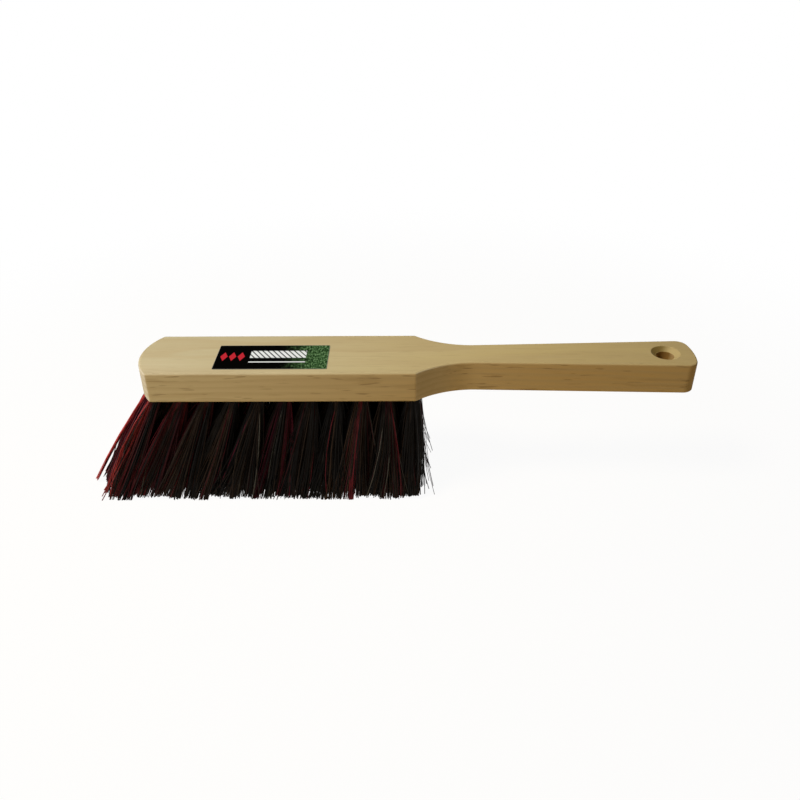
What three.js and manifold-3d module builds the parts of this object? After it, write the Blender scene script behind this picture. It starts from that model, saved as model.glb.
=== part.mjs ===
// Hand brush: a one-piece wooden stock, board sawn, with a block and a flat handle.
// Tufts of bristle are folded in half over wire staples, and each staple is driven into the
// bottom of a blind hole drilled on a slant in the underside of the block.
// Millimetres, +Z up, +X from the nose towards the handle. The tufts stand on the plane Z = 0.

import * as THREE from "three";
import { mergeVertices } from "three/addons/utils/BufferGeometryUtils.js";
import Module from "manifold-3d";

const wasm = await Module();
wasm.setup();

// Driving dimensions of the stock
const LENGTH = 348; // nose to the end of the handle
const THICKNESS = 20; // planed board
const EDGE_ROUND = 1; // rounding of every sawn edge
const BLOCK_LENGTH = 173; // nose to the shoulder corners
const BLOCK_WIDTH = 50;
const NOSE_BULGE = 9; // how far the nose arc stands out past the nose corners
const NECK_RUN = 38.5; // shoulder corners to the narrowest place of the handle
const NECK_WIDTH = 23.4; // handle at its narrowest
const GRIP_WIDTH = 31.8; // handle across the hang hole
const END_RADIUS = 50; // shallow arc across the end of the handle
const END_CORNER = 7; // rounding of the handle's two end corners
const HANG_HOLE = 11.2; // bore of the hang hole
const HANG_SINK = 3.5; // countersink at both rims of the hang hole, across
const HANG_SINK_DEPTH = 2.4; // the same, down
const HANG_INSET = 18; // hang hole's centre to the end of the handle

// Driving dimensions of the tufts
const ROWS = 4;
const TUFTS_IN_ROW = 11;
const HOLE_DIAMETER = 8; // drilled for one tuft
const SIDE_WALL = 4; // wood between an outer hole and the side of the block
const NOSE_WALL = 3; // wood between a first hole and the nose
const SHOULDER_INSET = 1.5; // last hole's centre to the shoulder corners
const BRISTLE_LENGTH = 70; // underside of the block to the trimmed tips
const NOSE_FLARE = 44; // how far the tips at the middle of the nose reach forward of their holes
const FAN_ROUND = 0.16; // share by which the outer rows reach less far forward, so that the fan is round
const HANDLE_FLARE = 0.5; // how far the tips nearest the handle reach back
const SIDE_FLARE = 9.5; // how far the tips of the outer rows reach sideways
const TUFT_SPREAD = 8; // radius of one tuft at its tips
const STRANDS = 8; // bristles shown in one tuft
const STRAND_RADIUS = 0.65;
const TRIM_RAGGED = 3.5; // how much shorter than the rest a bristle may be
const EVEN_SHARE = 0.4; // share of the bristles that the trim leaves level
const TIP_STRAY = 0.5; // how far a tip may stand off its place
const OPENING = 1.4; // power by which a tuft opens with depth, 1 being a straight cone

// Driving dimensions of the anchoring
const SLICE = 2; // thickness of the slice of block that a row of tufts keeps
const RIB = 1.9; // wood between two neighbouring slices
const WIRE = 1; // square staple wire
const STAPLE_BITE = 4.5; // staple legs driven into the wood past the hole's bottom
const STAPLE_COVER = 3.5; // wood left over the staple's points
const STAPLE_POINT = 1; // length of the chisel point of a leg
const DRILL_POINT = 1.6; // cone at the bottom of a drilled hole
const CLEARANCE = 0.3;

// Driving dimensions of the label
const LABEL_LENGTH = 70;
const LABEL_WIDTH = 30.4;
const LABEL_CORNER = 1;
const LABEL_THICKNESS = 0.2;
const LABEL_GLUE = 0.05;
const LABEL_FROM_NOSE = 48.6;
const LABEL_OFFSET = -4.2; // towards the front of the block

// Facets
const ARC_STEPS = 8;
const ROUND_STEPS = 3;
const HOLE_SIDES = 8;
const BORE_SIDES = 32;
const FOLD_STEPS = 2;
const STRAND_SIDES = 3;

// Places worked out from the driving dimensions
const halfBlock = BLOCK_WIDTH / 2;
const noseRadius = (halfBlock ** 2 + NOSE_BULGE ** 2) / (2 * NOSE_BULGE);
const hangX = LENGTH - HANG_INSET;
const holeRadius = HOLE_DIAMETER / 2;
const holeDepth = THICKNESS - STAPLE_COVER - STAPLE_BITE;
const outerRow = halfBlock - SIDE_WALL - holeRadius;
const rowPitch = (2 * outerRow) / (ROWS - 1);
const firstHoles = noseRadius - NOSE_WALL - holeRadius; // radius of the arc that the first holes lie on
const lastX = BLOCK_LENGTH - SHOULDER_INSET;
const sliceWidth = rowPitch - RIB - 2 * CLEARANCE;

const wood = new THREE.MeshStandardMaterial({ color: 0xc2ac7c, roughness: 0.6, metalness: 0 });
const bristle = new THREE.MeshStandardMaterial({ color: 0x1c120d, roughness: 0.55, metalness: 0 });
const steel = new THREE.MeshStandardMaterial({ color: 0xb8bbbe, roughness: 0.35, metalness: 1 });
const paper = new THREE.MeshStandardMaterial({ color: 0x101510, roughness: 0.4, metalness: 0 });

// A closed geometry as a solid for joining and cutting.
function solid(geometry) {
  const bare = geometry.clone();
  bare.deleteAttribute("normal");
  bare.deleteAttribute("uv");
  const merged = mergeVertices(bare, 1e-4);
  return new wasm.Manifold(
    new wasm.Mesh({
      numProp: 3,
      vertProperties: merged.attributes.position.array,
      triVerts: new Uint32Array(merged.index.array),
    }),
  );
}

// A solid back as a geometry with flat facets.
function geometryOf(made) {
  const mesh = made.getMesh();
  const geometry = new THREE.BufferGeometry();
  geometry.setAttribute("position", new THREE.BufferAttribute(mesh.vertProperties, 3));
  geometry.setIndex(new THREE.BufferAttribute(mesh.triVerts, 1));
  geometry.computeVertexNormals();
  return geometry;
}

const join = (solids) => solids.reduce((all, one) => all.add(one));

// A repeatable number from 0 to 1 for the irregular ends of the bristles.
const scatter = (n) => {
  const wave = Math.sin(n * 12.9898 + 4.1414) * 43758.5453;
  return wave - Math.floor(wave);
};

// Plan of the stock: nose arc, straight sides, hollow shoulders, a handle that widens to its round end.
function stockPlan() {
  const neckX = BLOCK_LENGTH + NECK_RUN;
  const along = new THREE.Vector2(hangX - neckX, (GRIP_WIDTH - NECK_WIDTH) / 2).normalize();
  const outward = new THREE.Vector2(-along.y, along.x);
  const neck = new THREE.Vector2(neckX, NECK_WIDTH / 2);

  // The shoulder arc touches the handle's side at the neck and runs through the shoulder corner.
  const toCorner = new THREE.Vector2(BLOCK_LENGTH, halfBlock).sub(neck);
  const shoulderRadius = toCorner.lengthSq() / (2 * toCorner.dot(outward));
  const shoulder = neck.clone().addScaledVector(outward, shoulderRadius);
  const cornerAngle = Math.atan2(halfBlock - shoulder.y, BLOCK_LENGTH - shoulder.x);
  const neckAngle = Math.atan2(neck.y - shoulder.y, neck.x - shoulder.x);

  // The end corner touches the handle's side and, from inside, the end arc.
  const endX = LENGTH - END_RADIUS;
  const start = neck.clone().addScaledVector(outward, -END_CORNER).sub(new THREE.Vector2(endX, 0));
  const reach = END_RADIUS - END_CORNER;
  const half = start.dot(along);
  const run = -half + Math.sqrt(half ** 2 - start.lengthSq() + reach ** 2);
  const corner = start.clone().addScaledVector(along, run);
  const endAngle = Math.atan2(corner.y, corner.x);
  const sideAngle = Math.atan2(outward.y, outward.x);
  corner.x += endX;

  const noseAngle = Math.asin(halfBlock / noseRadius);
  const plan = new THREE.Shape();
  plan.moveTo(NOSE_BULGE, -halfBlock);
  plan.lineTo(BLOCK_LENGTH, -halfBlock);
  plan.absarc(shoulder.x, -shoulder.y, shoulderRadius, -cornerAngle, -neckAngle, true);
  plan.absarc(corner.x, -corner.y, END_CORNER, -sideAngle, -endAngle, false);
  plan.absarc(endX, 0, END_RADIUS, -endAngle, endAngle, false);
  plan.absarc(corner.x, corner.y, END_CORNER, endAngle, sideAngle, false);
  plan.absarc(shoulder.x, shoulder.y, shoulderRadius, neckAngle, cornerAngle, true);
  plan.lineTo(NOSE_BULGE, halfBlock);
  plan.absarc(noseRadius, 0, noseRadius, Math.PI - noseAngle, Math.PI + noseAngle, false);
  return plan;
}

// One tuft: where its hole opens in the underside, and the frame of the slanted hole, w into the wood.
function tuftAt(row, column) {
  const y = -outerRow + row * rowPitch;
  const firstX = noseRadius - Math.sqrt(firstHoles ** 2 - y ** 2);
  const share = column / (TUFTS_IN_ROW - 1);
  const x = firstX + share * (lastX - firstX);
  const noseFlare = NOSE_FLARE * (1 - FAN_ROUND * (y / outerRow) ** 2);
  const flare = new THREE.Vector2(
    -noseFlare + share * (noseFlare + HANDLE_FLARE),
    SIDE_FLARE * (y / outerRow),
  );
  const w = new THREE.Vector3(-flare.x, -flare.y, BRISTLE_LENGTH).normalize();
  const u = new THREE.Vector3(1, 0, 0).addScaledVector(w, -w.x).normalize();
  const v = new THREE.Vector3().crossVectors(w, u);
  const frame = new THREE.Matrix4().makeBasis(u, v, w).setPosition(x, y, 0);
  return { x, y, flare, frame, mirror: Math.sign(y), seed: column * ROWS + Math.min(row, ROWS - 1 - row) };
}

const tufts = Array.from({ length: ROWS }, (_, row) =>
  Array.from({ length: TUFTS_IN_ROW }, (_, column) => tuftAt(row, column)),
);

// A strip with round ends, in plan, round a row of tufts.
function rowPlan(row, margin) {
  const radius = sliceWidth / 2 + margin;
  const [first, last] = [row[0], row.at(-1)];
  const plan = new THREE.Shape();
  plan.absarc(first.x, first.y, radius, Math.PI / 2, (3 * Math.PI) / 2, false);
  plan.absarc(last.x, last.y, radius, -Math.PI / 2, Math.PI / 2, false);
  return plan;
}

function strip(row, margin, depth) {
  return new THREE.ExtrudeGeometry(rowPlan(row, margin), {
    depth,
    bevelEnabled: false,
    curveSegments: FOLD_STEPS,
  });
}

// Heights along a hole, from the underside: the fold's centre, where the staple's crown lies.
const legInside = holeRadius - CLEARANCE - 1.5 * WIRE;
const foldHalf = legInside - CLEARANCE;
const foldRadius = Math.sqrt((holeRadius - CLEARANCE) ** 2 - foldHalf ** 2);
const crownHeight = holeDepth - CLEARANCE - foldRadius;
const legTop = holeDepth + STAPLE_BITE;

// The hole that the drill leaves: straight wall and a cone at the bottom.
function drilledHole(tuft) {
  const below = -HOLE_DIAMETER;
  const profile = [
    new THREE.Vector2(0, below),
    new THREE.Vector2(holeRadius, below),
    new THREE.Vector2(holeRadius, holeDepth),
    new THREE.Vector2(0, holeDepth + DRILL_POINT),
  ];
  const turned = new THREE.LatheGeometry(profile, HOLE_SIDES).rotateX(Math.PI / 2);
  return solid(turned.applyMatrix4(tuft.frame));
}

// The two slots that a staple's legs press into the wood.
function legSlots(tuft) {
  const width = WIRE + 2 * CLEARANCE;
  const bottom = crownHeight + foldRadius;
  const height = legTop + CLEARANCE - bottom;
  return [-1, 1].map((side) => {
    const slot = new THREE.BoxGeometry(width, width, height);
    slot.translate(0, side * (legInside + WIRE / 2), bottom + height / 2);
    return solid(slot.applyMatrix4(tuft.frame));
  });
}

// The hang hole: a straight bore, countersunk at both faces of the board.
function hangBore() {
  const narrow = HANG_HOLE / 2;
  const wide = narrow + HANG_SINK;
  const margin = HANG_SINK;
  const profile = [
    new THREE.Vector2(0, -margin),
    new THREE.Vector2(wide, -margin),
    new THREE.Vector2(wide, 0),
    new THREE.Vector2(narrow, HANG_SINK_DEPTH),
    new THREE.Vector2(narrow, THICKNESS - HANG_SINK_DEPTH),
    new THREE.Vector2(wide, THICKNESS),
    new THREE.Vector2(wide, THICKNESS + margin),
    new THREE.Vector2(0, THICKNESS + margin),
  ];
  const turned = new THREE.LatheGeometry(profile, BORE_SIDES).rotateX(Math.PI / 2);
  return solid(turned.translate(hangX, 0, 0));
}

function stockGeometry() {
  const board = new THREE.ExtrudeGeometry(stockPlan(), {
    depth: THICKNESS - 2 * EDGE_ROUND,
    bevelEnabled: true,
    bevelThickness: EDGE_ROUND,
    bevelSize: EDGE_ROUND,
    bevelOffset: -EDGE_ROUND,
    bevelSegments: ROUND_STEPS,
    curveSegments: ARC_STEPS,
  }).translate(0, 0, EDGE_ROUND);
  const slots = tufts.map((row) =>
    solid(strip(row, CLEARANCE, SLICE + 2 * CLEARANCE).translate(0, 0, -CLEARANCE)),
  );
  const holes = tufts.flat().map(drilledHole);
  const legs = tufts.flat().flatMap(legSlots);
  return geometryOf(solid(board).subtract(join([...slots, ...holes, ...legs, hangBore()])));
}

// A staple: a square wire bent to a U, crown in the fold of the tuft, chisel points in the wood.
function stapleGeometry(tuft) {
  const outer = legInside + WIRE;
  const bottom = crownHeight - WIRE / 2;
  const bend = WIRE / 2;
  const plan = new THREE.Shape([
    new THREE.Vector2(outer, bottom + bend),
    new THREE.Vector2(outer, legTop - STAPLE_POINT),
    new THREE.Vector2(legInside, legTop),
    new THREE.Vector2(legInside, bottom + WIRE),
    new THREE.Vector2(-legInside, bottom + WIRE),
    new THREE.Vector2(-legInside, legTop),
    new THREE.Vector2(-outer, legTop - STAPLE_POINT),
    new THREE.Vector2(-outer, bottom + bend),
    new THREE.Vector2(-outer + bend, bottom),
    new THREE.Vector2(outer - bend, bottom),
  ]);
  const wire = new THREE.ExtrudeGeometry(plan, { depth: WIRE, bevelEnabled: false });
  wire.translate(0, 0, -WIRE / 2).rotateX(Math.PI / 2).rotateZ(Math.PI / 2);
  return wire.applyMatrix4(tuft.frame);
}

// The folded root of a tuft: an arch over the staple's crown, with both legs down to the slice.
function foldedRoot(tuft) {
  const inner = WIRE / 2 + CLEARANCE;
  const plan = new THREE.Shape();
  plan.moveTo(foldRadius, 0);
  plan.absarc(0, crownHeight, foldRadius, 0, Math.PI, false);
  plan.lineTo(-foldRadius, 0);
  plan.lineTo(-inner, 0);
  plan.lineTo(-inner, crownHeight + inner);
  plan.lineTo(inner, crownHeight + inner);
  plan.lineTo(inner, 0);
  const arch = new THREE.ExtrudeGeometry(plan, {
    depth: 2 * foldHalf,
    bevelEnabled: false,
    curveSegments: FOLD_STEPS,
  });
  arch.translate(0, 0, -foldHalf).rotateX(Math.PI / 2);
  return solid(arch.applyMatrix4(tuft.frame));
}

// Middle of one bristle at a depth under the block. Bristles of a tuft open out like a sheaf.
function strandPath(tuft, index) {
  const ring = Math.sqrt((index + 0.5) / STRANDS);
  const rootRadius = ring * (holeRadius - CLEARANCE - STRAND_RADIUS);
  const tipRadius = ring * (TUFT_SPREAD - STRAND_RADIUS);
  const turn = index * Math.PI * (3 - Math.sqrt(5)) + tuft.seed;
  const stray = [0.3, 0.7].map((k) => TIP_STRAY * (2 * scatter(tuft.seed * STRANDS + index + k) - 1));
  return (depth) => {
    const share = depth / BRISTLE_LENGTH;
    const radius = rootRadius + (tipRadius - rootRadius) * Math.max(share, 0) ** OPENING;
    return new THREE.Vector3(
      tuft.x + tuft.flare.x * share + radius * Math.cos(turn) + stray[0] * share,
      tuft.y + tuft.flare.y * share + tuft.mirror * (radius * Math.sin(turn) + stray[1] * share),
      -depth,
    );
  };
}

// One bristle: level rings from inside the slice to a tip that is trimmed flat.
function strandGeometry(tuft, index) {
  const path = strandPath(tuft, index);
  const uneven = (scatter(tuft.seed * STRANDS + index) - EVEN_SHARE) / (1 - EVEN_SHARE);
  const short = TRIM_RAGGED * Math.max(0, uneven);
  const tip = BRISTLE_LENGTH - short;
  const positions = [-SLICE / 2, BRISTLE_LENGTH / 2, tip].flatMap((depth) => {
    const middle = path(depth);
    return Array.from({ length: STRAND_SIDES }, (_, side) => {
      const angle = (2 * Math.PI * side) / STRAND_SIDES;
      return [
        middle.x + STRAND_RADIUS * Math.cos(angle),
        middle.y + tuft.mirror * STRAND_RADIUS * Math.sin(angle),
        middle.z,
      ];
    }).flat();
  });
  const rings = positions.length / 3 / STRAND_SIDES;
  const faces = [];
  for (let ring = 0; ring + 1 < rings; ring++) {
    for (let side = 0; side < STRAND_SIDES; side++) {
      const a = ring * STRAND_SIDES + side;
      const b = ring * STRAND_SIDES + ((side + 1) % STRAND_SIDES);
      faces.push([a, a + STRAND_SIDES, b], [b, a + STRAND_SIDES, b + STRAND_SIDES]);
    }
  }
  const last = (rings - 1) * STRAND_SIDES;
  for (let side = 1; side + 1 < STRAND_SIDES; side++) {
    faces.push([0, side, side + 1], [last, last + side + 1, last + side]);
  }
  if (tuft.mirror < 0) faces.forEach((face) => face.reverse());
  const geometry = new THREE.BufferGeometry();
  geometry.setAttribute("position", new THREE.Float32BufferAttribute(positions, 3));
  geometry.setIndex(faces.flat());
  return geometry;
}

// A row of tufts on its slice of the block, with the folded roots standing up in the holes.
function rowGeometry(row) {
  const slice = solid(strip(row, 0, SLICE));
  const under = new THREE.BoxGeometry(2 * LENGTH, BLOCK_WIDTH, THICKNESS);
  under.translate(0, 0, SLICE / 2 - THICKNESS / 2);
  const roots = join(row.map(foldedRoot)).subtract(solid(under));
  const strands = row.flatMap((tuft) =>
    Array.from({ length: STRANDS }, (_, index) => solid(strandGeometry(tuft, index))),
  );
  return geometryOf(join([slice, roots, ...strands]));
}

// The least gap between two bristles, at the levels where they are closest.
function leastGap() {
  const paths = tufts.flat().flatMap((tuft) =>
    Array.from({ length: STRANDS }, (_, index) => strandPath(tuft, index)),
  );
  const levels = [0, BRISTLE_LENGTH / 2, BRISTLE_LENGTH];
  let least = Infinity;
  for (const depth of levels) {
    const points = paths.map((path) => path(depth));
    points.forEach((p, i) => {
      for (const q of points.slice(i + 1)) least = Math.min(least, p.distanceTo(q));
    });
  }
  return least - 2 * STRAND_RADIUS;
}

function labelGeometry() {
  const [halfLength, halfWidth] = [LABEL_LENGTH / 2 - LABEL_CORNER, LABEL_WIDTH / 2 - LABEL_CORNER];
  const plan = new THREE.Shape();
  plan.absarc(halfLength, halfWidth, LABEL_CORNER, 0, Math.PI / 2, false);
  plan.absarc(-halfLength, halfWidth, LABEL_CORNER, Math.PI / 2, Math.PI, false);
  plan.absarc(-halfLength, -halfWidth, LABEL_CORNER, Math.PI, 1.5 * Math.PI, false);
  plan.absarc(halfLength, -halfWidth, LABEL_CORNER, 1.5 * Math.PI, 2 * Math.PI, false);
  return new THREE.ExtrudeGeometry(plan, {
    depth: LABEL_THICKNESS,
    bevelEnabled: false,
    curveSegments: FOLD_STEPS,
  });
}

function mesh(name, geometry, material) {
  const made = new THREE.Mesh(geometry, material);
  made.name = name;
  return made;
}

const brush = new THREE.Group();
brush.add(mesh("stock", stockGeometry(), wood));

const label = mesh("label", labelGeometry(), paper);
label.position.set(LABEL_FROM_NOSE + LABEL_LENGTH / 2, LABEL_OFFSET, THICKNESS + LABEL_GLUE);
brush.add(label);

tufts.forEach((row, r) => {
  brush.add(mesh(`tuft_row_${r + 1}`, rowGeometry(row), bristle));
  row.forEach((tuft, c) => {
    const name = `staple_row_${r + 1}_${String(c + 1).padStart(2, "0")}`;
    brush.add(mesh(name, stapleGeometry(tuft), steel));
  });
});

// The brush stands on its trimmed tips, with the origin under the middle of its length.
const bounds = new THREE.Box3().setFromObject(brush);
brush.position.set(-(bounds.min.x + bounds.max.x) / 2, 0, BRISTLE_LENGTH);
console.log(`least gap between bristles ${leastGap().toFixed(2)} mm`);

export default brush;
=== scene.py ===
# %% [markdown]
# A hand brush: one flat board of pale beech, sawn to a block with a handle, and four rows of
# tufts of dark mixed fibre held in drilled holes by wire staples. This lesson dresses the packed
# CAD model. The board and the bristles are worked out again as fine surfaces with numpy, and
# the label and the staples keep their CAD shape and get a finish of their own. Lengths are in
# metres, X runs from the nose to the handle and Z is up.

import bmesh
import bpy
import numpy as np
from mathutils import Matrix, Vector


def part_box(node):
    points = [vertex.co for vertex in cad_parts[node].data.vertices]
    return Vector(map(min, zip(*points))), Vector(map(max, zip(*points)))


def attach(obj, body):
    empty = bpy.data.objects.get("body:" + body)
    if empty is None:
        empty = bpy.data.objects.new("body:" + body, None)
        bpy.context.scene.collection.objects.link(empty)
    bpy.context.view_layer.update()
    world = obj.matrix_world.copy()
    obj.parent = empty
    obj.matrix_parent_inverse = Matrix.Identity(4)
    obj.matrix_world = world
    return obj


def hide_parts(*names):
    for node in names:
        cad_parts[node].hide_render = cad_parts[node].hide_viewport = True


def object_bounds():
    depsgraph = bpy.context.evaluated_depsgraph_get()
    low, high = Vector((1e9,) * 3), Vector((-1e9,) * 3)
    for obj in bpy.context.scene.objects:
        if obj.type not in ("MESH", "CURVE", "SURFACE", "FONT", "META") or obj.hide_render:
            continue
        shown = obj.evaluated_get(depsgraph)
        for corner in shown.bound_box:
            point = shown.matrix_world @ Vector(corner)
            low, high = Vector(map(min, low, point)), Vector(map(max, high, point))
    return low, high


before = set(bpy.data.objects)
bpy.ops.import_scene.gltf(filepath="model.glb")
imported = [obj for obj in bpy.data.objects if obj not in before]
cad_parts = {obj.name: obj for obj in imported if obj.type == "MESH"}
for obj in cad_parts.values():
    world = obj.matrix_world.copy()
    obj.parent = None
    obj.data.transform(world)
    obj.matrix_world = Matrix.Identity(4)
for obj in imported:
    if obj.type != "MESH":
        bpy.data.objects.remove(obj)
cad_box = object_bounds()
MM = 0.001
print("CAD box:", [[round(v, 4) for v in corner] for corner in cad_box])

# %% [markdown]
# The camera comes first, because every later choice was judged against the photograph. Its place, tilt and
# lens were fitted to the straight edges of the board. A camera looks along its own minus Z, so the three
# columns of its turn are right, up and the way back. Lens and sensor are in millimetres, as on a real
# camera.

# %% Camera
CAMERA_PLACE = Vector((0.01090, -0.42837, 0.32398))
PITCH = np.radians(32.07)
YAW = np.radians(-0.1)
ROLL = np.radians(-0.25)
LENS = 34.895
SENSOR_WIDTH = 36
NEAREST_SEEN = 0.01

forward = Vector((np.sin(YAW) * np.cos(PITCH), np.cos(YAW) * np.cos(PITCH), -np.sin(PITCH)))
level = Vector((np.cos(YAW), -np.sin(YAW), 0))
upright = level.cross(forward)
right = np.cos(ROLL) * level + np.sin(ROLL) * upright
up = -np.sin(ROLL) * level + np.cos(ROLL) * upright
turn = Matrix((right, up, -forward)).transposed().to_4x4()

camera = bpy.data.objects.new("camera", bpy.data.cameras.new("camera"))
camera.data.lens = LENS
camera.data.sensor_width = SENSOR_WIDTH
camera.data.sensor_fit = "HORIZONTAL"
camera.data.clip_start = NEAREST_SEEN
camera.matrix_world = Matrix.Translation(CAMERA_PLACE) @ turn
bpy.context.scene.collection.objects.link(camera)
bpy.context.scene.camera = camera
print("camera looks down", round(float(np.degrees(PITCH)), 1), "degrees")

# %% [markdown]
# Materials are graphs of nodes. A few small helpers keep them readable. The first ones add a node,
# fill its inputs, and do sums with values that change over a surface.

# %% Helpers for nodes and sums
def fill(tree, node, sockets):
    """Fills inputs of a node: a socket is linked, and any other value is written."""
    for key, value in sockets.items():
        if isinstance(value, bpy.types.NodeSocket):
            tree.links.new(value, node.inputs[key])
        else:
            node.inputs[key].default_value = value


def put(tree, kind, sockets=None, **settings):
    """Adds a node, sets its properties and fills its inputs."""
    node = tree.nodes.new(kind)
    for name, value in settings.items():
        setattr(node, name, value)
    fill(tree, node, sockets or {})
    return node


def sum_of(tree, operation, *values):
    """One Math node: the operation on up to three values or sockets."""
    return put(tree, "ShaderNodeMath", dict(enumerate(values)), operation=operation).outputs[0]


def product(tree, first, *others):
    """The first value times each of the others, one after another."""
    for other in others:
        first = sum_of(tree, "MULTIPLY", first, other)
    return first


def length_of(tree, vector):
    """Length of a vector: the root of the sum of the squares of its parts."""
    return put(tree, "ShaderNodeVectorMath", {0: vector}, operation="LENGTH").outputs["Value"]


def distance(tree, first, second):
    """Length of the vector that has these two parts."""
    return length_of(tree, put(tree, "ShaderNodeCombineXYZ", {"X": first, "Y": second}).outputs[0])


def ease(tree, value, low, high, start=0.0, end=1.0):
    """Smooth step: start while the value is under low, end past high, an S-shaped change between."""
    sockets = {"Value": value, "From Min": low, "From Max": high, "To Min": start, "To Max": end}
    return put(tree, "ShaderNodeMapRange", sockets, interpolation_type="SMOOTHSTEP").outputs[0]


print("helpers for sums are ready")

# %% [markdown]
# The other helpers deal with colours and finishes: a ramp from a value to a colour, one colour laid
# over another, a new material, and the last step of each finish, which links it to its shader.

# %% Helpers for colours and finishes
# The Mix node lists the sockets of every kind of value, and these are the ones of its colours.
MIX_SHARE, MIX_UNDER, MIX_OVER, MIX_RESULT = 0, 6, 7, 2


def opaque(colour):
    """A written colour with full alpha, while a socket stays as it is."""
    return colour if isinstance(colour, bpy.types.NodeSocket) else (*colour, 1)


def ramp(tree, value, stops):
    """Colour ramp through (position, (red, green, blue)) stops."""
    node = put(tree, "ShaderNodeValToRGB", {"Fac": value})
    elements = node.color_ramp.elements
    for position, _ in stops[len(elements):]:
        elements.new(position)
    for element, (position, colour) in zip(elements, stops):
        element.position = position
        element.color = opaque(colour)
    return node.outputs["Color"]


def tint(tree, share, under, over, mode="MIX"):
    """Lays the colour over on the colour under, as strongly as share says."""
    sockets = {MIX_SHARE: share, MIX_UNDER: opaque(under), MIX_OVER: opaque(over)}
    node = put(tree, "ShaderNodeMix", sockets, data_type="RGBA", blend_type=mode)
    return node.outputs[MIX_RESULT]


def new_material(name):
    """A new material: itself, its tree, its Principled shader and its Object coordinates."""
    finish = bpy.data.materials.new(name)
    finish.use_nodes = True
    tree = finish.node_tree
    place = put(tree, "ShaderNodeTexCoord").outputs["Object"]
    return finish, tree, tree.nodes["Principled BSDF"], place


def finish_with(tree, shader, sockets, relief, strength, depth):
    """Fills a shader's inputs and adds a bump: the relief, how strong it is, and its depth in metres."""
    bump = put(tree, "ShaderNodeBump", {"Height": relief, "Strength": strength, "Distance": depth})
    fill(tree, shader, {**sockets, "Normal": bump.outputs[0]})


def dress(piece, finish):
    """Makes the finish the only material of a piece."""
    piece.data.materials.clear()
    piece.data.materials.append(finish)


print("helpers for finishes are ready")

# %% [markdown]
# Every new piece is a grid of points that numpy works out. Rows run from one end of the piece to
# the other and columns run round it, and neighbouring points make one four-sided face.

# %% Helpers for meshes
# Points closer than this are one point.
SAME_POINT = 0.002 * MM


def grid_faces(rows, columns):
    """Faces of a tube of rows x columns points: each point joins the next row and the next column."""
    row = np.arange(rows - 1)[:, None]
    column = np.arange(columns)[None, :]
    after = (column + 1) % columns
    below = (row + 1) * columns
    faces = np.stack([row * columns + column, below + column, below + after, row * columns + after], -1)
    return faces.reshape(-1, 4)


def copies(faces, points, count):
    """Faces of count equal shapes whose points follow each other: the numbers move up by points each."""
    return (faces[None] + np.arange(count)[:, None, None] * points).reshape(-1, faces.shape[1])


def mesh_piece(name, points, faces):
    """Puts (n, 3) points and (m, 4) faces, in metres, into a new object at the origin."""
    mesh = bpy.data.meshes.new(name)
    mesh.vertices.add(len(points))
    mesh.vertices.foreach_set("co", points.astype(np.float32).ravel())
    mesh.loops.add(faces.size)
    mesh.loops.foreach_set("vertex_index", faces.astype(np.int32).ravel())
    mesh.polygons.add(len(faces))
    mesh.polygons.foreach_set("loop_start", np.arange(len(faces), dtype=np.int32) * faces.shape[1])
    mesh.update(calc_edges=True)
    mesh.validate()
    piece = bpy.data.objects.new(name, mesh)
    bpy.context.scene.collection.objects.link(piece)
    return piece


def merge_points(mesh):
    """Joins points that lie on each other and drops the faces that this flattens to nothing."""
    work = bmesh.new()
    work.from_mesh(mesh)
    bmesh.ops.remove_doubles(work, verts=work.verts, dist=SAME_POINT)
    bmesh.ops.dissolve_degenerate(work, edges=work.edges, dist=SAME_POINT)
    work.to_mesh(mesh)
    work.free()


def smooth(mesh, sharp):
    """Smooth shading, but edges bent by more than the sharp angle stay edges."""
    mesh.polygons.foreach_set("use_smooth", np.ones(len(mesh.polygons), bool))
    mesh.set_sharp_from_angle(angle=sharp)


print("mesh helpers are ready")

# %% [markdown]
# The studio's surround is white to the eye and a dim, warm light to the brush. Only rays from the
# camera, through glass or off a mirror-like surface meet the white, so the light on the brush
# stays at a plain level.

# %% Surround
WHITE = (1, 1, 1)
FILL_COLOUR = (1.0, 0.86, 0.62)
FILL_STRENGTH = 0.06


def direct_rays(tree):
    """1 for rays from the camera, through glass or off a mirror-like surface, and 0 for the others."""
    path = put(tree, "ShaderNodeLightPath").outputs
    seen = sum_of(tree, "MAXIMUM", path["Is Camera Ray"], path["Is Transmission Ray"])
    return sum_of(tree, "MAXIMUM", seen, path["Is Glossy Ray"])


scene = bpy.context.scene
scene.view_settings.view_transform = "Standard"
scene.world = bpy.data.worlds.new("studio")
scene.world.use_nodes = True
sky = scene.world.node_tree
sky.nodes.clear()
dim = put(sky, "ShaderNodeBackground", {"Color": opaque(FILL_COLOUR), "Strength": FILL_STRENGTH})
bright = put(sky, "ShaderNodeBackground", {"Color": opaque(WHITE), "Strength": 1.0})
choice = put(sky, "ShaderNodeMixShader", {0: direct_rays(sky), 1: dim.outputs[0], 2: bright.outputs[0]})
put(sky, "ShaderNodeOutputWorld", {"Surface": choice.outputs[0]})
print("surround lights the brush at", FILL_STRENGTH)

# %% [markdown]
# Two round lamps stand in for soft boxes: the key lamp high on the left and in front, and a weak
# one low on the left that catches the nose and the fan.

# %% Lamps
def soft_lamp(name, place, aim, size, power, tone):
    """A round area lamp at a place, turned so that it shines at the aim."""
    lamp = bpy.data.objects.new(name, bpy.data.lights.new(name, "AREA"))
    lamp.data.shape = "DISK"
    lamp.data.size = size
    lamp.data.energy = power
    lamp.data.color = tone
    lamp.location = place
    lamp.rotation_euler = (aim - place).to_track_quat("-Z", "Y").to_euler()
    scene.collection.objects.link(lamp)
    print(name, "stands", round((aim - place).length, 2), "m away")


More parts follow.
